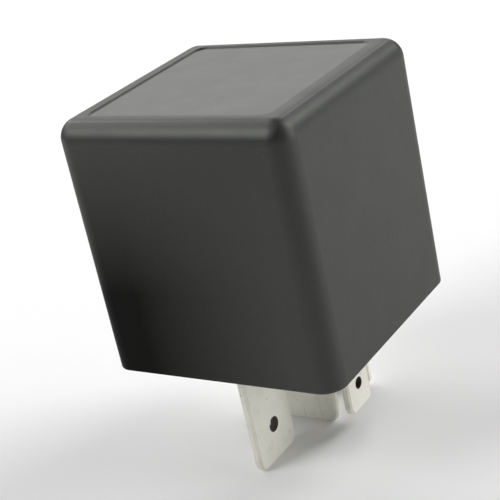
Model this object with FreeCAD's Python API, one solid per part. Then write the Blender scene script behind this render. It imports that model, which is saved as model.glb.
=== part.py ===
import FreeCAD, Part
import math
import os
from FreeCAD import Rotation, Vector

# Plug-in changeover relay, millimetres. +Z is up, -Y is the front.
# The origin is the centre of the seating plane: the underside of the base and of the cover's rim.

# ---- driving dimensions -------------------------------------------------------------------------

COVER_W = 23.6              # across the front, at the rim
COVER_D = 22.5              # front to back, at the rim
COVER_H = 23.9              # seating plane to the top
DRAFT = 0.07                # how far each side leans in over the height
WALL = 1.25                 # at the rim; the cavity's sides are upright
CORNER_R = 1.85             # upright edges, at the top
TOP_R = 1.8                 # edges round the top
LABEL_INSET_X = 2.4         # from the cover's top outline to the brink of the label field
LABEL_INSET_Y = 2.05
LABEL_DEPTH = 0.15
LABEL_SLOPE = 0.2           # chamfer round the field
LABEL_R = 1.0
CAVITY_TOP = 22.45
CAVITY_R = 0.7              # its upright edges
CAVITY_TOP_R = 0.5
LEAD_IN = 0.3               # chamfer inside the cover's rim and round the base's upper edge

FIT = 0.1                   # base to cover, per side
BASE_H = 3.0
BASE_RIM = 1.2              # wall round the pocket under the base
BASE_SKIRT = 0.9            # depth of that pocket
POCKET_R = 0.8
BOSS_R = 0.6
BOSS_END = 0.95             # how far the bosses in the pocket reach past a blade's ends
BOSS_SIDE = 1.1             # and past its faces
CHEEK_T = 1.4               # the base's two upstands, one on each side of the yoke
CHEEK_H = 3.2
CHEEK_LEN = 2.5
CHEEK_GAP = 0.05            # to the yoke

TAB = 0.8                   # thickness of every terminal
LOAD_W = 6.3
LOAD_LEN = 11.45            # below the seating plane
LOAD_HOLE = 3.55            # hole centre above the tip
T87A_HOLE = 3.8             # terminal 87a's sits a little higher
LOAD_TIP_R = 1.0
COIL_W = 4.0
COIL_LEN = 9.5
COIL_HOLE = 2.65
COIL_TIP_R = 0.85
LOAD_HOLE_R = 0.7           # detent holes
COIL_HOLE_R = 0.55
TIP_CHAMFER = 0.18

T30_Y = -5.45               # centres of the blades
T87A_Y = 1.45
T87_Y = 8.2
COIL_X = 5.55
COIL_Y = T87A_Y

TONGUE_Y = (-6.8, -4.0)     # terminal 30's tongue through the yoke
STRIP_Z = (1.9, 1.9 + TAB)  # terminal 87a's strip, in a groove of the base
STRIP_Y = (4.7, 7.1)
STRIP_END = -10.1
BRACKET_X = (-9.5, -9.5 + TAB)
BRACKET_STEP = 0.4          # from the riser's sides in to the foot and the arm
ARM_PAST_X = 0.7            # how far the arm reaches past its contact
ARM_PAST_Y = 0.75
NC_PLATE_Z = 21.4           # underside of the bracket's arm
NC_PLATE_T = 0.7
NO_PLATE_Z = (16.2, 17.0)   # underside and top of terminal 87's shelf
NO_HALF = 2.4               # half width of that shelf
SHELF_PAST = 0.65           # how far it reaches past its contact
FOOT_HALF = 1.6             # half width of the coil terminals' feet
POST_X = 8.5                # outer face of their posts
POST_Y = (COIL_Y - 0.6, COIL_Y + 0.2)
POST_H = 6.4
BEND_R = 0.6                # outside of the bends in the sheet metal

PLATE = 1.5                 # yoke thickness
YOKE_HALF = 4.6
YOKE_FRONT = -9.05
YOKE_REAR = 2.6
LUG_X = 3.8                 # inner face of the yoke's two lugs, which stand in the armature's notches
LUG_H = 1.3
LUG_GAP = 0.17
AXIS_Y = -1.0               # coil axis
FLANGE = 1.0
WINDOW = 10.3               # winding height
BOBBIN_HALF = 5.7
FLANGE_CORNER_R = 1.4
BARREL_T = 0.9              # wall of the bobbin's barrel
CORE_FIT = 0.05             # core to barrel, per side
NOTCH_Y = (1.2, 2.2)        # slots in the lower flange, for the ends of the winding
NOTCH_IN = 0.9
WINDING_R = 5.2
WIRE_R = 0.12
WRAP_PITCH = 0.3            # the wire's turns on a coil terminal's post
WRAP_TURNS = 5
WRAP_Z = BASE_H + 4.3       # where they begin
CORE_R = 2.0
SPIGOT_R = 1.5
HEAD_R = 3.5
HEAD_H = 0.8

ARM_T = 1.2                 # armature thickness
ARM_SHOULDER = 1.0          # where it narrows, and where it ends
ARM_REAR = 3.6
NOSE_HALF = 3.6
REST_ANGLE = 4.0            # degrees that the armature stands open at rest
SEAT_GAP = 0.05
RIVET_R = 0.6               # shanks of the rivets and of the contacts
ARM_RIVET_X = 1.7
ARM_RIVET_Y = -4.2
LEG_RIVET_X = 1.6
LEG_RIVET_Z = 10.8

LEAF_T = 0.2
LEAF_HALF = 2.9
LEAF_TIP_HALF = 1.9
LEAF_TAPER_Y = 4.2
LEAF_WINDOW_HALF = 1.5      # opening where the leaf bends
LEG_LOW = 8.8               # the leaf's leg on the yoke
LEG_HIGH = 13.6
LOOP_OUT = 0.55             # how far the middle of its loop stands out from the yoke
LOOP_START = 0.3            # from the yoke's outer face to where the flat part ends
CONTACT_Y = 7.2             # contact axis with the armature pulled in
CONTACT_R = 1.25
CONTACT_EDGE_R = 0.3
TIP_R = 1.2                 # corners of the leaf's tip and of the bracket's arm
MOVING_LOW = 0.75           # height of the moving contact's lower button
MOVING_HIGH = 0.6
OPEN_GAP = 0.02             # air left between faces that meet

# ---- worked out from them -----------------------------------------------------------------------

YOKE_BOTTOM = BASE_H
YOKE_TOP_FACE = YOKE_BOTTOM + PLATE
BOBBIN_TOP = YOKE_TOP_FACE + 2 * FLANGE + WINDOW
POLE_Z = BOBBIN_TOP + HEAD_H
ARM_Z = POLE_Z + SEAT_GAP                   # underside of the armature, pulled in
LEAF_Z = ARM_Z + ARM_T                      # underside of the leaf, pulled in
HINGE = Vector(0, YOKE_FRONT, ARM_Z)


def block(x0, x1, y0, y1, z0, z1):
    return Part.makeBox(x1 - x0, y1 - y0, z1 - z0, Vector(x0, y0, z0))


def rod(x, y, z0, z1, r):
    return Part.makeCylinder(r, z1 - z0, Vector(x, y, z0))


def upright_edges(shape):
    """The straight edges that run along Z."""
    found = []
    for edge in shape.Edges:
        if len(edge.Vertexes) == 2:
            run = edge.Vertexes[1].Point - edge.Vertexes[0].Point
            if abs(run.x) < 1e-6 and abs(run.y) < 1e-6:
                found.append(edge)
    return found


def edges_at(shape, z):
    """The edges that lie in the level plane at z."""
    return [e for e in shape.Edges if abs(e.BoundBox.ZMin - z) < 1e-4 and abs(e.BoundBox.ZMax - z) < 1e-4]


def round_block(x0, x1, y0, y1, z0, z1, r):
    body = block(x0, x1, y0, y1, z0, z1)
    return body.makeFillet(r, upright_edges(body))


def at_rest(shape):
    """Swings a shape from the pulled-in place to the open place that the armature rests in."""
    posed = shape.copy()
    posed.rotate(HINGE, Vector(1, 0, 0), REST_ANGLE)
    return posed


def round_bend(shape, x=None, y=None, z=None, radius=BEND_R):
    """Rounds the edges that run along the axis left out, through the two places given."""
    bend = []
    for edge in shape.Edges:
        box = edge.BoundBox
        spans = ((x, box.XMin, box.XMax), (y, box.YMin, box.YMax), (z, box.ZMin, box.ZMax))
        if all(at is None or (abs(low - at) < 1e-4 and abs(high - at) < 1e-4) for at, low, high in spans):
            bend.append(edge)
    return shape.makeFillet(radius, bend)


def button(y, back, face, shank_end):
    """A contact with its rounded face at face, its back at back and a shank on to shank_end."""
    low, high = sorted((back, face))
    head = rod(0, y, low, high, CONTACT_R)
    head = head.makeFillet(CONTACT_EDGE_R, edges_at(head, face))
    low, high = sorted((back, shank_end))
    return head.fuse(rod(0, y, low, high, RIVET_R)).removeSplitter()


def rivet(x, y, z0, z1, head_r, head_h):
    """A rivet with a domed head above z1 and a flush shank down to z0."""
    head = rod(x, y, z1, z1 + head_h, head_r)
    head = head.makeFillet(head_h * 0.6, edges_at(head, z1 + head_h))
    return head.fuse(rod(x, y, z0, z1, RIVET_R)).removeSplitter()


# ---- terminals ----------------------------------------------------------------------------------


def blade(width, length, hole_rise, hole_r, tip_r, top):
    """A tab in the XZ plane, centred on the origin, with round coined corners and a detent hole."""
    half = width / 2
    tab = block(-half, half, -TAB / 2, TAB / 2, -length, top)
    for side in (-half, half):
        tab = round_bend(tab, x=side, z=-length, radius=tip_r)
    rim = []
    for edge in tab.Edges:
        box = edge.BoundBox
        if box.YLength < 1e-6 and box.ZMax < -length + tip_r + 0.2:
            rim.append(edge)
    tab = tab.makeChamfer(TIP_CHAMFER, rim)
    hole = Part.makeCylinder(hole_r, 2 * TAB, Vector(0, -TAB, hole_rise - length), Vector(0, 1, 0))
    return tab.cut(hole)


def stand(tab, x, y, edge_on):
    placed = tab.copy()
    if edge_on:
        placed.rotate(Vector(0, 0, 0), Vector(0, 0, 1), 90)
    placed.translate(Vector(x, y, 0))
    return placed


def load_blade(y, edge_on, top, hole_rise=LOAD_HOLE):
    return stand(blade(LOAD_W, LOAD_LEN, hole_rise, LOAD_HOLE_R, LOAD_TIP_R, top), 0, y, edge_on)


def make_terminal_30():
    tongue = block(-TAB / 2, TAB / 2, *TONGUE_Y, BASE_H - 0.1, YOKE_TOP_FACE)
    return load_blade(T30_Y, True, BASE_H).fuse(tongue).removeSplitter()


def make_nc_strip(bracket):
    """Lies in the base and joins terminal 87a to the foot of its bracket."""
    half = LOAD_W / 2
    body = block(-half, half, T87A_Y + TAB / 2, STRIP_Y[1], *STRIP_Z)
    return body.fuse(block(STRIP_END, half, *STRIP_Y, *STRIP_Z)).removeSplitter().cut(bracket)


def make_nc_bracket():
    """Stands on the end of the strip, with a tenon in it, and reaches over the leaf's tip."""
    top = NC_PLATE_Z + NC_PLATE_T
    slim_y = STRIP_Y[0] + BRACKET_STEP
    foot = block(*BRACKET_X, slim_y, STRIP_Y[1] - BRACKET_STEP, STRIP_Z[0], BASE_H)
    riser = block(*BRACKET_X, *STRIP_Y, STRIP_Z[1], top)
    end_x, end_y = CONTACT_R + ARM_PAST_X, CONTACT_Y + CONTACT_R + ARM_PAST_Y
    arm = block(BRACKET_X[0], BRACKET_X[1], slim_y, STRIP_Y[1], NC_PLATE_Z, top)
    arm = arm.fuse(block(BRACKET_X[1], end_x, slim_y, end_y, NC_PLATE_Z, top))
    body = riser.fuse([foot, arm]).removeSplitter()
    tips = [edge for edge in upright_edges(body) if edge.BoundBox.XMin > CONTACT_R]
    body = body.makeFillet(TIP_R, tips)
    return round_bend(body, x=BRACKET_X[0], z=top)


def make_no_bracket():
    """Stands on terminal 87 and holds its contact on a shelf under the leaf's tip."""
    front, rear = T87_Y - TAB / 2, T87_Y + TAB / 2
    riser = block(-NO_HALF, NO_HALF, front, rear, BASE_H, NO_PLATE_Z[1])
    shelf = block(-NO_HALF, NO_HALF, CONTACT_Y - CONTACT_R - SHELF_PAST, rear, *NO_PLATE_Z)
    return round_bend(riser.fuse(shelf).removeSplitter(), y=rear, z=NO_PLATE_Z[1])


def make_coil_terminal(side):
    tab = blade(COIL_W, COIL_LEN, COIL_HOLE, COIL_HOLE_R, COIL_TIP_R, BASE_H)
    tab = stand(tab, COIL_X, COIL_Y, True)
    low, high = COIL_Y - FOOT_HALF, COIL_Y + FOOT_HALF
    foot = block(COIL_X - TAB / 2, POST_X, low, high, BASE_H, BASE_H + TAB)
    rise = block(POST_X - TAB, POST_X, low, high, BASE_H, BASE_H + 3 * TAB)
    post = block(POST_X - TAB, POST_X, *POST_Y, BASE_H, BASE_H + POST_H)
    body = tab.fuse([foot, rise, post]).removeSplitter()
    return body if side > 0 else body.mirror(Vector(0, 0, 0), Vector(1, 0, 0))


# ---- base and cover -----------------------------------------------------------------------------


def outline_at(hx, hy, z, r):
    """A rounded rectangle at z, as a wire."""
    plate = round_block(-hx, hx, -hy, hy, z, z + 1, r)
    return Part.Wire(Part.__sortEdges__(edges_at(plate, z)))


def make_cover():
    hx, hy = COVER_W / 2, COVER_D / 2
    tx, ty = hx - DRAFT, hy - DRAFT
    rim = outline_at(hx, hy, 0, CORNER_R + DRAFT)
    top = outline_at(tx, ty, COVER_H, CORNER_R)
    shell = Part.makeLoft([rim, top], True, True)
    shell = shell.makeFillet(TOP_R, edges_at(shell, COVER_H))
    cx, cy = hx - WALL, hy - WALL
    cavity = round_block(-cx, cx, -cy, cy, -1, CAVITY_TOP, CAVITY_R)
    cavity = cavity.makeFillet(CAVITY_TOP_R, edges_at(cavity, CAVITY_TOP))
    lx, ly = tx - LABEL_INSET_X, ty - LABEL_INSET_Y
    brink = outline_at(lx, ly, COVER_H, LABEL_R)
    field = outline_at(lx - LABEL_SLOPE, ly - LABEL_SLOPE, COVER_H - LABEL_DEPTH, LABEL_R - LABEL_SLOPE)
    shell = shell.cut(cavity).cut(Part.makeLoft([field, brink], True, True))
    mouth = []
    for edge in edges_at(shell, 0):
        box = edge.BoundBox
        if max(abs(box.XMin), abs(box.XMax)) < cx + 0.01 and max(abs(box.YMin), abs(box.YMax)) < cy + 0.01:
            mouth.append(edge)
    return shell.makeChamfer(LEAD_IN, mouth)


def boss(x, y, half_x, half_y):
    return round_block(x - half_x, x + half_x, y - half_y, y + half_y, 0, BASE_SKIRT, BOSS_R)


def make_base(metal):
    """The floor that holds the terminals. metal is all that stands in it."""
    hx, hy = COVER_W / 2 - WALL - FIT, COVER_D / 2 - WALL - FIT
    body = round_block(-hx, hx, -hy, hy, 0, BASE_H, CAVITY_R - FIT)
    body = body.makeChamfer(LEAD_IN, edges_at(body, BASE_H))
    px, py = hx - BASE_RIM, hy - BASE_RIM
    pocket = round_block(-px, px, -py, py, -1, BASE_SKIRT, POCKET_R)
    across, along = TAB / 2 + BOSS_SIDE, LOAD_W / 2 + BOSS_END
    coil_along = COIL_W / 2 + BOSS_END
    bosses = [boss(0, T30_Y, across, along), boss(0, T87A_Y, along, across), boss(0, T87_Y, along, across)]
    bosses += [boss(side * COIL_X, COIL_Y, across, coil_along) for side in (-1, 1)]
    for lump in bosses:
        pocket = pocket.cut(lump)
    body = body.cut(pocket)
    half, groove_top = LOAD_W / 2, BASE_H + 1
    body = body.cut(block(-half, half, T87A_Y - TAB / 2, STRIP_Y[1], STRIP_Z[0], groove_top))
    body = body.cut(block(STRIP_END, half, *STRIP_Y, STRIP_Z[0], groove_top))
    for side in (-1, 1):
        inner = side * (YOKE_HALF + CHEEK_GAP)
        x0, x1 = sorted((inner, inner + side * CHEEK_T))
        y0, top = YOKE_FRONT - LEAD_IN, BASE_H + CHEEK_H
        cheek = block(x0, x1, y0, y0 + CHEEK_LEN, BASE_H - 0.5, top)
        body = body.fuse(cheek.makeChamfer(0.4, edges_at(cheek, top)))
    for piece in metal:
        body = body.cut(piece)
    return body.removeSplitter()


# ---- magnet and coil ----------------------------------------------------------------------------


def make_yoke(terminal_30, rivets, core):
    floor = block(-YOKE_HALF, YOKE_HALF, YOKE_FRONT, YOKE_REAR, YOKE_BOTTOM, YOKE_TOP_FACE)
    arm = block(-YOKE_HALF, YOKE_HALF, YOKE_FRONT, YOKE_FRONT + PLATE, YOKE_BOTTOM, POLE_Z)
    body = round_bend(floor.fuse(arm).removeSplitter(), y=YOKE_FRONT, z=YOKE_BOTTOM, radius=2 * BEND_R)
    for side in (-1, 1):
        x0, x1 = sorted((side * LUG_X, side * YOKE_HALF))
        lug = block(x0, x1, YOKE_FRONT, YOKE_FRONT + PLATE, POLE_Z - 0.5, POLE_Z + LUG_H)
        body = body.fuse(lug.makeChamfer(0.25, edges_at(lug, POLE_Z + LUG_H)))
    body = body.removeSplitter()
    for tool in (terminal_30, rivets, core):
        body = body.cut(tool)
    return body


def make_core():
    body = rod(0, AXIS_Y, YOKE_BOTTOM, YOKE_TOP_FACE, SPIGOT_R)
    body = body.fuse(rod(0, AXIS_Y, YOKE_TOP_FACE, BOBBIN_TOP, CORE_R))
    head = rod(0, AXIS_Y, BOBBIN_TOP, POLE_Z, HEAD_R)
    head = head.makeChamfer(0.15, edges_at(head, POLE_Z))
    return body.fuse(head).removeSplitter()


def make_bobbin():
    low = YOKE_TOP_FACE
    half = BOBBIN_HALF
    flanges = []
    for z in (low, BOBBIN_TOP - FLANGE):
        flanges.append(round_block(-half, half, AXIS_Y - half, AXIS_Y + half, z, z + FLANGE, FLANGE_CORNER_R))
    body = rod(0, AXIS_Y, low, BOBBIN_TOP, CORE_R + BARREL_T).fuse(flanges)
    body = body.cut(rod(0, AXIS_Y, low - 1, BOBBIN_TOP + 1, CORE_R + CORE_FIT))
    for side in (-1, 1):
        x0, x1 = sorted((side * (half - NOTCH_IN), side * (half + 1)))
        body = body.cut(block(x0, x1, *NOTCH_Y, low - 1, low + FLANGE + 1))
    return body.removeSplitter()


def make_winding():
    z0 = YOKE_TOP_FACE + FLANGE + OPEN_GAP
    z1 = z0 + WINDOW - 2 * OPEN_GAP
    bore = rod(0, AXIS_Y, z0 - 1, z1 + 1, CORE_R + BARREL_T + OPEN_GAP)
    return rod(0, AXIS_Y, z0, z1, WINDING_R).cut(bore)


def make_lead(side):
    """The end of the winding: off its side, out over the flange to the post, and round it."""
    post_x = POST_X - TAB / 2
    post_y = (POST_Y[0] + POST_Y[1]) / 2
    turn_r = math.hypot(TAB / 2, (POST_Y[1] - POST_Y[0]) / 2) + WIRE_R + 0.03
    leave = Vector(WINDING_R + WIRE_R + OPEN_GAP, AXIS_Y, YOKE_TOP_FACE + FLANGE + 0.5)
    start = Vector(post_x + turn_r, post_y, WRAP_Z)
    middle = Vector((leave.x + start.x) / 2 - 0.1, (leave.y + start.y) / 2 - 0.2, (leave.z + start.z) / 2)
    run = Part.BSplineCurve()
    climb = Vector(0, 2 * math.pi * turn_r, WRAP_PITCH).normalize()
    run.interpolate(Points=[leave, middle, start], InitialTangent=Vector(0, 2, 0), FinalTangent=climb * 2)
    helix = Part.makeHelix(WRAP_PITCH, WRAP_TURNS * WRAP_PITCH, turn_r)
    helix.translate(Vector(post_x, post_y, start.z))
    pieces = []
    for path, begin, heading in ((run.toShape(), leave, Vector(0, 1, 0)), (helix, start, climb)):
        profile = Part.Wire(Part.makeCircle(WIRE_R, begin, heading))
        pieces.append(Part.Wire(path).makePipeShell([profile], True, True))
    lead = pieces[0].fuse(pieces[1])
    return lead if side > 0 else lead.mirror(Vector(0, 0, 0), Vector(1, 0, 0))


# ---- armature and contacts ----------------------------------------------------------------------


def make_armature(rivets):
    body = block(-YOKE_HALF, YOKE_HALF, YOKE_FRONT, ARM_SHOULDER, ARM_Z, LEAF_Z)
    nose = block(-NOSE_HALF, NOSE_HALF, 0, ARM_REAR, ARM_Z, LEAF_Z)
    body = body.fuse(nose).removeSplitter()
    for side in (-1, 1):
        x0, x1 = sorted((side * (LUG_X - LUG_GAP), side * (YOKE_HALF + 1)))
        body = body.cut(block(x0, x1, YOKE_FRONT - 1, YOKE_FRONT + PLATE + LUG_GAP, ARM_Z - 1, LEAF_Z + 1))
    body = body.makeFillet(0.4, upright_edges(body))
    body = at_rest(round_bend(body, y=YOKE_FRONT, z=LEAF_Z, radius=0.5))
    for pin in rivets.Solids:
        body = body.cut(pin)
    return body


def make_armature_rivets():
    ends = (ARM_Z + 0.1, LEAF_Z + LEAF_T)
    pair = [rivet(x, ARM_RIVET_Y, *ends, 1.0, 0.45) for x in (-ARM_RIVET_X, ARM_RIVET_X)]
    return at_rest(Part.makeCompound(pair))


def make_yoke_rivets():
    pair = []
    for x in (-LEG_RIVET_X, LEG_RIVET_X):
        pin = rivet(0, 0, -1.0, LEAF_T, 0.95, 0.4)
        pin.rotate(Vector(0, 0, 0), Vector(1, 0, 0), 90)
        pin.translate(Vector(x, YOKE_FRONT, LEG_RIVET_Z))
        pair.append(pin)
    return Part.makeCompound(pair)


def leaf_bend():
    """The curve from the flat end over the armature, round the open loop, to the leg on the yoke."""
    mid = LEAF_Z + LEAF_T / 2
    placement = FreeCAD.Placement(Vector(0, 0, 0), Rotation(Vector(1, 0, 0), REST_ANGLE), HINGE)
    free_end, flat_end = [placement.multVec(Vector(0, y, mid)) for y in (CONTACT_Y + 1.7, YOKE_FRONT + LOOP_START)]
    along = (flat_end - free_end).normalize()
    loop = Part.BSplineCurve()
    outermost = Vector(0, YOKE_FRONT - LOOP_OUT, ARM_Z)
    leg_top = Vector(0, YOKE_FRONT - LEAF_T / 2, LEG_HIGH)
    down = Vector(0, 0, -1)
    loop.interpolate(Points=[flat_end, outermost, leg_top], InitialTangent=along, FinalTangent=down)
    return free_end, along, loop


def leaf_side(offset):
    """One face of the leaf, offset from its middle, as edges in the YZ plane from tip to foot."""
    free_end, along, loop = leaf_bend()
    first, last = loop.FirstParameter, loop.LastParameter
    steps = 28
    points = []
    for i in range(steps + 1):
        at = first + (last - first) * i / steps
        heading = loop.tangent(at)[0]
        points.append(loop.value(at) + Vector(0, -heading.z, heading.y) * offset)
    tip = free_end + Vector(0, -along.z, along.y) * offset
    foot = Vector(0, points[-1].y, LEG_LOW)
    curve = Part.BSplineCurve()
    curve.interpolate(points)
    return [Part.makeLine(tip, points[0]), curve.toShape(), Part.makeLine(points[-1], foot)], tip, foot


def make_contact_spring(holders):
    """The leaf spring. holders are the contact and the rivets that pass through it."""
    upper, tip_a, foot_a = leaf_side(LEAF_T / 2)
    lower, tip_b, foot_b = leaf_side(-LEAF_T / 2)
    outline = upper + lower + [Part.makeLine(tip_a, tip_b), Part.makeLine(foot_a, foot_b)]
    face = Part.Face(Part.Wire(Part.__sortEdges__(outline)))
    strip = face.extrude(Vector(2 * LEAF_HALF, 0, 0))
    strip.translate(Vector(-LEAF_HALF, 0, 0))
    half = LEAF_WINDOW_HALF
    strip = strip.cut(block(-half, half, YOKE_FRONT - 3, YOKE_FRONT + 1.5, LEG_HIGH + 0.6, COVER_H))
    for side in (-1, 1):
        x0, x1 = sorted((side * LEAF_TIP_HALF, side * (LEAF_HALF + 1)))
        strip = strip.cut(block(x0, x1, LEAF_TAPER_Y, COVER_D, LEG_HIGH, COVER_H))
    tips = [e for e in strip.Edges if e.BoundBox.YMin > CONTACT_Y + 1.2 and e.BoundBox.XLength < 1e-4]
    strip = strip.makeFillet(TIP_R, tips)
    for holder in holders:
        strip = strip.cut(holder)
    return strip


def make_moving_contact():
    leaf_top = LEAF_Z + LEAF_T
    low = button(CONTACT_Y, LEAF_Z, LEAF_Z - MOVING_LOW, leaf_top)
    high = button(CONTACT_Y, leaf_top, leaf_top + MOVING_HIGH, LEAF_Z)
    return at_rest(low.fuse(high).removeSplitter())


def make_contact_no():
    """On terminal 87's shelf, its face just short of the moving contact pulled in."""
    return button(CONTACT_Y, NO_PLATE_Z[1], LEAF_Z - MOVING_LOW - OPEN_GAP, NO_PLATE_Z[0])


def make_contact_nc(moving_contact):
    """Under the bracket's arm, its face just clear of the moving contact at rest."""
    face = moving_contact.BoundBox.ZMax + OPEN_GAP
    return button(CONTACT_Y - 0.1, NC_PLATE_Z, face, NC_PLATE_Z + NC_PLATE_T)


# ---- assembly -----------------------------------------------------------------------------------


def make_parts():
    moving_contact = make_moving_contact()
    contact_no = make_contact_no()
    contact_nc = make_contact_nc(moving_contact)
    armature_rivets = make_armature_rivets()
    yoke_rivets = make_yoke_rivets()
    core = make_core()
    nc_bracket = make_nc_bracket()
    metal = {
        "terminal_30": make_terminal_30(),
        "terminal_85": make_coil_terminal(1),
        "terminal_86": make_coil_terminal(-1),
        "terminal_87": load_blade(T87_Y, False, BASE_H),
        "terminal_87a": load_blade(T87A_Y, False, STRIP_Z[1], T87A_HOLE),
        "nc_strip": make_nc_strip(nc_bracket),
        "nc_bracket": nc_bracket.cut(contact_nc),
    }
    parts = dict(metal)
    parts["no_bracket"] = make_no_bracket().cut(contact_no)
    parts["cover"] = make_cover()
    parts["base"] = make_base(metal.values())
    parts["yoke"] = make_yoke(metal["terminal_30"], yoke_rivets, core)
    parts["core"] = core
    parts["bobbin"] = make_bobbin()
    parts["coil_winding"] = make_winding()
    parts["coil_lead_85"] = make_lead(1)
    parts["coil_lead_86"] = make_lead(-1)
    parts["armature"] = make_armature(armature_rivets)
    parts["armature_rivets"] = armature_rivets
    parts["yoke_rivets"] = yoke_rivets
    parts["contact_spring"] = make_contact_spring([moving_contact, armature_rivets, yoke_rivets])
    parts["moving_contact"] = moving_contact
    parts["contact_no"] = contact_no
    parts["contact_nc"] = contact_nc
    return parts


os.makedirs("parts", exist_ok=True)
for name, shape in make_parts().items():
    shape.exportStep(os.path.join("parts", name + ".step"))
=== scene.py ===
import math

import bmesh
import bpy
from mathutils import Matrix, Vector, noise


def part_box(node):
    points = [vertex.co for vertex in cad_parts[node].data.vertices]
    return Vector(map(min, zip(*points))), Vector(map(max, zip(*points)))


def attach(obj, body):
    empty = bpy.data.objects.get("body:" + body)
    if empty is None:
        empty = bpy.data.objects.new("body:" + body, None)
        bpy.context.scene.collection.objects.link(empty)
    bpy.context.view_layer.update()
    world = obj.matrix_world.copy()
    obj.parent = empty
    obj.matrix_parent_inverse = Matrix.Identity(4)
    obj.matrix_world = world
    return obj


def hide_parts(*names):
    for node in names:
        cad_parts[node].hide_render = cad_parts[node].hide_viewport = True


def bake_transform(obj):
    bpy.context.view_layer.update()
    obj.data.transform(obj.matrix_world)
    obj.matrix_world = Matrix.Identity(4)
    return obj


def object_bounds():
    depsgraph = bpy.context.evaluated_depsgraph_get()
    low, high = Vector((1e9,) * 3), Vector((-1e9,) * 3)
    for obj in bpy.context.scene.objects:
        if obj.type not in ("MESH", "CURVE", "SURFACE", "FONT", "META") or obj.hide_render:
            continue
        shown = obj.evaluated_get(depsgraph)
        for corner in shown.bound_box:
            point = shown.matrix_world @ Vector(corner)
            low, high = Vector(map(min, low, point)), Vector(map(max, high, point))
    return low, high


MM = 0.001

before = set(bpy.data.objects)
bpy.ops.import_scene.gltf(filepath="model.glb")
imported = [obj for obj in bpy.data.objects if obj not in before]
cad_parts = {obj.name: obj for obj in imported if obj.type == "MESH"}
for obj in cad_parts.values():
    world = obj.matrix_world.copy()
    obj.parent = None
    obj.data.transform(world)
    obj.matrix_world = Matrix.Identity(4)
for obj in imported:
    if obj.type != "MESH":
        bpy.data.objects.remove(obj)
cad_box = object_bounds()

COVER_HIGH = Vector(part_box("cover")[1])
LOWEST = cad_box[0][2]
LABEL_DEPTH = 0.15 * MM
WIRE = 0.24 * MM
WINDING_BORE = 2.92 * MM
SENSOR = 36                                 # the camera's, in its own millimetres
LAMP_SIZE, LAMP_DISTANCE = 0.3, 0.6
LAMP_AIM = Vector((0, 0, 0.012))

X, Y, Z = 0, 1, 2
HOLES = {                                   # axes across the hole, centre and radius in mm
    "terminal_30": ((Y, Z), (-5.45, -7.9), 0.7),
    "terminal_87a": ((X, Z), (0, -7.65), 0.7),
    "terminal_87": ((X, Z), (0, -7.9), 0.7),
    "terminal_85": ((Y, Z), (1.45, -6.85), 0.55),
    "terminal_86": ((Y, Z), (1.45, -6.85), 0.55),
}


# ---- material building --------------------------------------------------------------------------


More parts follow.
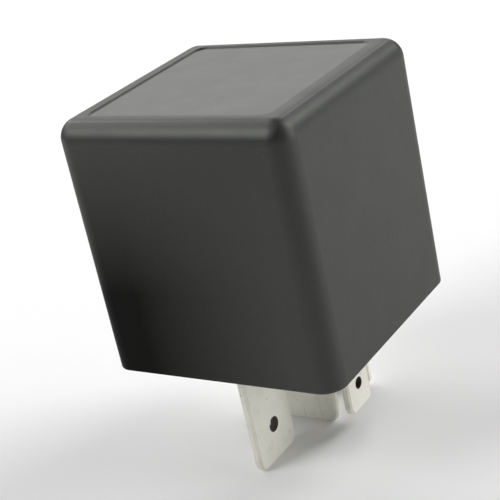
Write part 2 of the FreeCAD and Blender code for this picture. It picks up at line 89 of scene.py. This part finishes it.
class Finish:
    """One material: a Principled shader, and short calls for the nodes that feed it."""

    def __init__(self, name, colour, roughness, metallic=0.0):
        self.material = bpy.data.materials.new(name)
        self.material.use_nodes = True
        self.tree = self.material.node_tree
        self.tree.nodes.clear()
        self.shader = self.add("ShaderNodeBsdfPrincipled")
        out = self.add("ShaderNodeOutputMaterial")
        self.tree.links.new(self.shader.outputs["BSDF"], out.inputs["Surface"])
        own = self.add("ShaderNodeTexCoord").outputs
        self.place = own["Object"]
        self.facing = own["Normal"]
        self.shader.inputs["Metallic"].default_value = metallic
        self.colour = colour
        self.rough = roughness
        self.normal = None
        self.shader.inputs["Base Color"].default_value = (*colour, 1)
        self.shader.inputs["Roughness"].default_value = roughness

    def add(self, kind, **settings):
        node = self.tree.nodes.new(kind)
        for name, value in settings.items():
            setattr(node, name, value)
        return node

    def feed(self, socket, value):
        if isinstance(value, bpy.types.NodeSocket):
            self.tree.links.new(value, socket)
        elif isinstance(value, tuple) and len(value) == 3 and socket.type == "RGBA":
            socket.default_value = (*value, 1)
        else:
            socket.default_value = value

    def math(self, operation, a, b=0.0, clamp=False):
        node = self.add("ShaderNodeMath", operation=operation, use_clamp=clamp)
        self.feed(node.inputs[0], a)
        self.feed(node.inputs[1], b)
        return node.outputs[0]

    def stretched(self, factors):
        node = self.add("ShaderNodeVectorMath", operation="MULTIPLY")
        self.feed(node.inputs[0], self.place)
        node.inputs[1].default_value = factors
        return node.outputs[0]

    def axis(self, index):
        node = self.add("ShaderNodeSeparateXYZ")
        self.feed(node.inputs[0], self.place)
        return node.outputs[index]

    def looks(self, direction, low, high):
        """1 on the faces that look along direction, 0 on the others."""
        dot = self.add("ShaderNodeVectorMath", operation="DOT_PRODUCT")
        self.feed(dot.inputs[0], self.facing)
        dot.inputs[1].default_value = direction
        return self.between(dot.outputs["Value"], low, high)

    def around(self, axes, centre_mm, radius_mm, fade_mm):
        """1 within radius of a line through centre along the axis left out of axes."""
        squares = []
        for index, middle in zip(axes, centre_mm):
            off = self.math("SUBTRACT", self.axis(index), middle * MM)
            squares.append(self.math("MULTIPLY", off, off))
        far = self.math("SQRT", self.math("ADD", *squares))
        return self.between(far, (radius_mm + fade_mm) * MM, radius_mm * MM)

    def grain(self, size_mm, detail=2.0, stretch=None, distortion=0.0):
        """Noise from 0 to 1 whose blots are about size_mm across."""
        node = self.add("ShaderNodeTexNoise")
        self.feed(node.inputs["Vector"], self.stretched(stretch) if stretch else self.place)
        node.inputs["Scale"].default_value = 1 / (size_mm * MM)
        node.inputs["Detail"].default_value = detail
        node.inputs["Distortion"].default_value = distortion
        return node.outputs["Fac"]

    def specks(self, size_mm, reach):
        """Round specks: 1 in the middle of a cell, 0 beyond reach (a share of size_mm)."""
        node = self.add("ShaderNodeTexVoronoi")
        self.feed(node.inputs["Vector"], self.place)
        node.inputs["Scale"].default_value = 1 / (size_mm * MM)
        return self.between(node.outputs["Distance"], reach, 0.0)

    def between(self, value, low, high, to_low=0.0, to_high=1.0):
        """value from low..high to to_low..to_high, clamped."""
        node = self.add("ShaderNodeMapRange", clamp=True)
        for socket, number in zip(node.inputs, (value, low, high, to_low, to_high)):
            self.feed(socket, number)
        return node.outputs[0]

    def blend(self, share, a, b):
        node = self.add("ShaderNodeMix", data_type="RGBA")
        self.feed(node.inputs["Factor"], share)
        self.feed(node.inputs[6], a)
        self.feed(node.inputs[7], b)
        return node.outputs[2]

    def edges(self, radius_mm, low=0.004, high=0.06):
        """1 on the sharp edges, 0 on the faces."""
        bevel = self.add("ShaderNodeBevel", samples=6)
        bevel.inputs["Radius"].default_value = radius_mm * MM
        straight = self.add("ShaderNodeNewGeometry")
        dot = self.add("ShaderNodeVectorMath", operation="DOT_PRODUCT")
        self.tree.links.new(bevel.outputs[0], dot.inputs[0])
        self.tree.links.new(straight.outputs["Normal"], dot.inputs[1])
        return self.between(dot.outputs["Value"], 1 - low, 1 - high)

    def tint(self, share, colour):
        """Lays colour over what is there by share."""
        self.colour = self.blend(share, self.colour, colour)
        self.feed(self.shader.inputs["Base Color"], self.colour)

    def roughen(self, share, amount):
        """Adds amount times share to the roughness."""
        self.rough = self.math("ADD", self.rough, self.math("MULTIPLY", share, amount), clamp=True)
        self.feed(self.shader.inputs["Roughness"], self.rough)

    def bump(self, height, depth_mm, strength=1.0):
        node = self.add("ShaderNodeBump")
        node.inputs["Strength"].default_value = strength
        node.inputs["Distance"].default_value = depth_mm * MM
        self.feed(node.inputs["Height"], height)
        if self.normal is not None:
            self.feed(node.inputs["Normal"], self.normal)
        self.normal = node.outputs[0]
        self.feed(self.shader.inputs["Normal"], self.normal)


def cover_finish():
    """Charcoal plastic with a spark-eroded texture, with painted shade low down at the left of the front that
    darkens it and weakens its reflection.

    The label field is smoother and a shade lighter than the rest, and a painted highlight makes the rounded
    edge over the front paler.
    """
    f = Finish("cover_plastic", (0.0141, 0.0155, 0.0136), 0.44)
    f.shader.inputs["Specular Tint"].default_value = (0.972, 1.0, 0.914, 1.0)
    f.tint(f.between(f.grain(6.0, 3), 0.35, 0.7, 0, 0.5), (0.018, 0.019, 0.018))
    f.tint(f.between(f.grain(0.5, 2), 0.5, 0.75, 0, 0.25), (0.026, 0.027, 0.026))
    f.tint(f.math("MULTIPLY", f.specks(1.7, 0.06), 0.35), (0.09, 0.09, 0.087))
    near = f.math("ABSOLUTE", f.math("SUBTRACT", f.axis(Z), COVER_HIGH.z - LABEL_DEPTH))
    label = f.between(near, 0.05 * MM, 0.02 * MM)
    f.tint(f.math("MULTIPLY", label, 0.6), (0.030, 0.031, 0.030))
    f.roughen(label, -0.10)
    wear = f.math("MULTIPLY", f.edges(0.5), f.between(f.grain(1.2, 4), 0.45, 0.65))
    f.tint(f.math("MULTIPLY", wear, 0.25), (0.08, 0.08, 0.077))
    f.roughen(f.grain(3.0, 3), 0.10)
    f.roughen(wear, -0.12)
    # painted shade: the front face is darkened low down at the left, fading out towards the right and the top
    left = f.between(f.axis(X), 8 * MM, -7 * MM)
    low_left = f.math("MULTIPLY", left, f.between(f.axis(Z), 22 * MM, 8 * MM))
    painted_low_left_shade = f.math("MULTIPLY", low_left, f.looks((0, -1, 0), 0.1, 0.7))
    f.tint(f.math("MULTIPLY", painted_low_left_shade, 0.9), (0.003, 0.003, 0.003))
    # painted highlight: the rounded edge over the front, facing front and up, is made paler
    painted_edge_highlight = f.looks((0, -0.71, 0.71), 0.86, 0.99)
    f.tint(f.math("MULTIPLY", painted_edge_highlight, 0.7), (0.088, 0.090, 0.086))
    # painted dark reflection: the specular is weakened on the same low-left patch of the front
    f.feed(f.shader.inputs["Specular IOR Level"], f.between(painted_low_left_shade, 0, 1, 0.6, 0.06))
    f.bump(f.grain(0.16, 3), 0.012)
    f.bump(f.grain(0.45, 2), 0.010)
    f.bump(f.grain(9.0, 1), 0.05, 0.5)
    return f.material


def base_finish():
    """Black glass-filled plastic, smoother than the cover, with pale fibre flecks."""
    f = Finish("base_plastic", (0.022, 0.022, 0.023), 0.42)
    f.tint(f.between(f.grain(2.5, 3), 0.4, 0.7, 0, 0.6), (0.030, 0.030, 0.031))
    f.tint(f.between(f.grain(0.22, 1, stretch=(1, 0.25, 1)), 0.66, 0.76, 0, 0.3), (0.11, 0.11, 0.105))
    f.tint(f.math("MULTIPLY", f.edges(0.2), 0.25), (0.08, 0.08, 0.08))
    f.roughen(f.grain(1.1, 3), 0.16)
    f.bump(f.grain(0.2, 2), 0.008)
    return f.material


def bobbin_finish():
    """Unfilled nylon, cream and slightly see-through, with flow marks."""
    f = Finish("bobbin_plastic", (0.60, 0.55, 0.43), 0.38)
    f.shader.inputs["Subsurface Weight"].default_value = 0.15
    f.shader.inputs["Subsurface Radius"].default_value = (0.0015, 0.0012, 0.0008)
    f.shader.inputs["Subsurface Scale"].default_value = 1.0
    f.tint(f.between(f.grain(3.0, 3, distortion=1.5), 0.4, 0.7, 0, 0.5), (0.66, 0.61, 0.50))
    f.tint(f.math("MULTIPLY", f.specks(2.3, 0.04), 0.5), (0.25, 0.20, 0.13))
    f.roughen(f.grain(1.0, 2), 0.12)
    f.bump(f.grain(0.3, 2), 0.006)
    return f.material


def tin_finish(name, hole=None):
    """Matt tin over brass: rolled along Z, handled, with brass showing on the punched edges.

    hole is a detent hole as its two axes across, its centre in mm and its radius: its wall is bare brass,
    darkened with painted shade and rougher.
    """
    f = Finish(name, (0.86, 0.85, 0.76), 0.46, metallic=0.30)
    along_z = (1.0, 1.0, 0.05)
    f.tint(f.between(f.grain(1.8, 4), 0.42, 0.68, 0, 0.55), (0.80, 0.79, 0.72))
    f.tint(f.between(f.grain(0.9, 5, distortion=0.8), 0.60, 0.78, 0, 0.35), (0.50, 0.46, 0.37))
    f.tint(f.between(f.grain(0.16, 3, stretch=along_z), 0.62, 0.74, 0, 0.30), (0.46, 0.44, 0.39))
    f.tint(f.math("MULTIPLY", f.specks(1.3, 0.10), 0.7), (0.22, 0.20, 0.17))
    bare = f.math("MULTIPLY", f.edges(0.12), f.between(f.grain(0.8, 3), 0.38, 0.6))
    f.tint(f.math("MULTIPLY", bare, 0.55), (0.42, 0.32, 0.19))
    f.roughen(f.between(f.grain(0.5, 4), 0.35, 0.7), 0.20)
    if hole:
        axes, centre, radius = hole
        # painted shade inside the detent hole, where its wall lies out of the light
        painted_hole_shade = f.around(axes, centre, radius + 0.02, 0.05)
        f.tint(f.math("MULTIPLY", painted_hole_shade, 0.95), (0.045, 0.034, 0.02))
        f.roughen(painted_hole_shade, 0.3)
    f.bump(f.grain(0.07, 3, stretch=along_z), 0.003)
    f.bump(f.grain(0.6, 3), 0.006)
    return f.material


def steel_finish(name, rolled):
    """Bright zinc on pressed steel: cloudy spangle, rolling lines, lighter on the sheared edges."""
    f = Finish(name, (0.50, 0.52, 0.54), 0.30, metallic=1.0)
    long_way = tuple(0.06 if axis == rolled else 1.0 for axis in range(3))
    f.tint(f.between(f.grain(2.2, 5, distortion=1.0), 0.40, 0.70, 0, 0.6), (0.64, 0.65, 0.64))
    f.tint(f.between(f.grain(1.1, 3), 0.62, 0.80, 0, 0.35), (0.48, 0.44, 0.34))
    f.tint(f.math("MULTIPLY", f.edges(0.15), 0.35), (0.75, 0.76, 0.76))
    f.roughen(f.between(f.grain(0.8, 4), 0.35, 0.70), 0.22)
    f.bump(f.grain(0.12, 3, stretch=long_way), 0.004)
    f.bump(f.grain(0.8, 3), 0.006)
    return f.material


def copper_finish():
    """Enamelled wire: copper under a clear amber coat."""
    f = Finish("enamelled_copper", (0.55, 0.19, 0.065), 0.30, metallic=0.9)
    f.shader.inputs["Coat Weight"].default_value = 0.7
    f.shader.inputs["Coat Roughness"].default_value = 0.12
    f.shader.inputs["Coat Tint"].default_value = (1.0, 0.82, 0.62, 1)
    f.tint(f.between(f.grain(1.5, 3), 0.40, 0.72, 0, 0.6), (0.68, 0.27, 0.10))
    f.tint(f.between(f.grain(0.4, 2, stretch=(1, 1, 0.2)), 0.60, 0.78, 0, 0.5), (0.30, 0.09, 0.03))
    f.roughen(f.grain(0.5, 3), 0.14)
    f.bump(f.grain(0.15, 2), 0.003)
    return f.material


def spring_finish():
    """Rolled copper alloy strip, brown gold, with fine lines along its length and darker patches."""
    f = Finish("spring_bronze", (0.68, 0.42, 0.22), 0.26, metallic=1.0)
    f.tint(f.between(f.grain(2.0, 3), 0.40, 0.70, 0, 0.5), (0.78, 0.52, 0.30))
    f.tint(f.between(f.grain(0.7, 4), 0.62, 0.82, 0, 0.4), (0.38, 0.20, 0.10))
    f.tint(f.math("MULTIPLY", f.edges(0.06), 0.4), (0.90, 0.72, 0.48))
    f.roughen(f.between(f.grain(0.35, 3), 0.35, 0.70), 0.16)
    f.bump(f.grain(0.06, 2, stretch=(1, 0.05, 0.05)), 0.002)
    return f.material


def silver_finish():
    """Silver alloy contacts, slightly yellowed and pitted."""
    f = Finish("silver_contact", (0.80, 0.78, 0.72), 0.28, metallic=1.0)
    f.tint(f.between(f.grain(0.8, 4), 0.45, 0.75, 0, 0.5), (0.60, 0.55, 0.44))
    f.tint(f.math("MULTIPLY", f.specks(0.5, 0.12), 0.5), (0.25, 0.22, 0.18))
    f.roughen(f.grain(0.3, 3), 0.20)
    f.bump(f.grain(0.12, 3), 0.005)
    return f.material


# ---- pieces -------------------------------------------------------------------------------------


def dress(name, material, bevel_mm=0.0, segments=2):
    """Gives a CAD node its material and softly broken edges."""
    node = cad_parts[name]
    node.data.materials.clear()
    node.data.materials.append(material)
    if bevel_mm:
        soft = node.modifiers.new("broken_edges", "BEVEL")
        soft.width = bevel_mm * MM
        soft.segments = segments
        soft.limit_method = "ANGLE"
        soft.angle_limit = math.radians(35)


def copy_of(name, new_name):
    """A free copy of a CAD node's mesh."""
    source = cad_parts[name]
    piece = bpy.data.objects.new(new_name, source.data.copy())
    bpy.context.scene.collection.objects.link(piece)
    return piece


def wound_coil(name, centre, low, high, radius):
    """The winding as real turns: a sleeve whose outside is a helical row of round wire, a little uneven."""
    around = 96
    per_turn = 10
    turns = int((high - low) / WIRE)
    steps = turns * per_turn
    mesh = bmesh.new()

    def place(angle, r, z):
        return mesh.verts.new((centre[0] + r * math.cos(angle), centre[1] + r * math.sin(angle), z))

    angles = [2 * math.pi * i / around for i in range(around)]
    rows = []
    for k in range(steps + 1):
        row = []
        for i, angle in enumerate(angles):
            turn = k / per_turn + i / around
            across = (turn % 1.0) * 2 - 1
            bulge = math.sqrt(max(0.0, 1 - across * across)) * WIRE * 0.5
            spot = Vector((math.floor(turn) * 0.7, math.cos(angle), math.sin(angle)))
            uneven = noise.noise(spot) * WIRE * 0.12
            r = radius - WIRE * 0.5 + bulge + min(0.0, uneven - WIRE * 0.1)
            row.append(place(angle, r, low + (high - low) * k / steps))
        rows.append(row)
    rows.insert(0, [place(angle, WINDING_BORE, low) for angle in angles])
    rows.append([place(angle, WINDING_BORE, high) for angle in angles])
    for lower, upper in zip(rows, rows[1:]):
        for i in range(around):
            j = (i + 1) % around
            mesh.faces.new((lower[i], lower[j], upper[j], upper[i]))
    for i in range(around):
        j = (i + 1) % around
        mesh.faces.new((rows[-1][i], rows[-1][j], rows[0][j], rows[0][i]))
    bmesh.ops.recalc_face_normals(mesh, faces=mesh.faces)
    data = bpy.data.meshes.new(name)
    mesh.to_mesh(data)
    mesh.free()
    for face in data.polygons:
        face.use_smooth = True
    piece = bpy.data.objects.new(name, data)
    bpy.context.scene.collection.objects.link(piece)
    return piece


def build_object():
    steel = steel_finish("zinc_steel", Z)
    armature_steel = steel_finish("zinc_steel_armature", Y)
    copper = copper_finish()
    spring = spring_finish()
    silver = silver_finish()

    dress("cover", cover_finish(), 0.06)
    dress("base", base_finish(), 0.08)
    dress("bobbin", bobbin_finish(), 0.12, 3)
    for name, hole in HOLES.items():
        dress(name, tin_finish("tin_plate_" + name.removeprefix("terminal_"), hole), 0.05)
    tin = tin_finish("tin_plate")
    for name in ("nc_strip", "nc_bracket", "no_bracket"):
        dress(name, tin, 0.05)
    dress("yoke", steel, 0.10)
    dress("core", steel, 0.06)
    dress("armature", armature_steel, 0.10)
    for name in ("armature_rivets", "yoke_rivets"):
        dress(name, steel)
    for name in ("coil_lead_85", "coil_lead_86"):
        dress(name, copper)
    for name in ("moving_contact", "contact_no", "contact_nc"):
        dress(name, silver)

    low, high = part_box("coil_winding")
    centre = ((low[0] + high[0]) / 2, (low[1] + high[1]) / 2)
    coil = wound_coil("copper_turns", centre, low[2], high[2], (high[0] - low[0]) / 2)
    coil.data.materials.append(copper)
    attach(coil, "base_unit")
    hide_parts("coil_winding")

    leaf = copy_of("contact_spring", "leaf_spring")
    leaf.data.materials.clear()
    leaf.data.materials.append(spring)
    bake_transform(leaf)
    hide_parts("contact_spring")


# ---- studio -------------------------------------------------------------------------------------


def floor():
    size = 1.2
    mesh = bpy.data.meshes.new("floor")
    corners = [(-size, -size, 0), (size, -size, 0), (size, size, 0), (-size, size, 0)]
    mesh.from_pydata(corners, [], [(0, 1, 2, 3)])
    plane = bpy.data.objects.new("floor", mesh)
    plane.location.z = LOWEST
    bpy.context.scene.collection.objects.link(plane)
    f = Finish("floor_paper", (0.90, 0.90, 0.90), 0.9)
    f.tint(f.between(f.grain(40, 3), 0.3, 0.7, 0, 0.4), (0.93, 0.93, 0.93))
    plane.data.materials.append(f.material)


def towards(azimuth, elevation):
    """A direction, in degrees. Azimuth 0 is in front, 90 at the right."""
    az, el = math.radians(azimuth), math.radians(elevation)
    return Vector((math.sin(az) * math.cos(el), -math.cos(az) * math.cos(el), math.sin(el)))


def lamp(name, power, azimuth, elevation):
    """A square soft light that faces the object."""
    data = bpy.data.lights.new(name, "AREA")
    data.shape = "SQUARE"
    data.size = LAMP_SIZE
    data.energy = power
    light = bpy.data.objects.new(name, data)
    away = towards(azimuth, elevation)
    light.location = LAMP_AIM + away * LAMP_DISTANCE
    light.rotation_euler = away.to_track_quat("Z", "Y").to_euler()
    bpy.context.scene.collection.objects.link(light)


def studio():
    world = bpy.data.worlds.new("studio")
    world.use_nodes = True
    background = world.node_tree.nodes["Background"]
    background.inputs["Color"].default_value = (1, 1, 1, 1)
    background.inputs["Strength"].default_value = 0.106
    bpy.context.scene.world = world
    lamp("back_right", 1.92, 140, 38)
    lamp("low_right", 1.15, 110, 12)
    lamp("back_left", 0.67, 200, 30)
    lamp("left_rear", 0.65, 230, 30)
    lamp("left", 0.85, 260, 38)
    lamp("front_left", 1.68, 320, 38)
    bpy.context.scene.view_settings.view_transform = "Standard"


def camera():
    """Looks down at the front right corner, turned about its own axis as the object was held."""
    distance, roll = 120.81 * MM, math.radians(-12.56)
    aim = Vector((-1.21, -1.02, 7.76)) * MM
    away = towards(36.51, 22.85)
    data = bpy.data.cameras.new("camera")
    data.lens = 95.55
    data.sensor_width = SENSOR
    data.clip_start = 0.01
    view = bpy.data.objects.new("camera", data)
    turn = away.to_track_quat("Z", "Y").to_matrix().to_4x4() @ Matrix.Rotation(roll, 4, "Z")
    view.matrix_world = Matrix.Translation(aim + away * distance) @ turn
    bpy.context.scene.collection.objects.link(view)
    bpy.context.scene.camera = view


build_object()
floor()
studio()
camera()
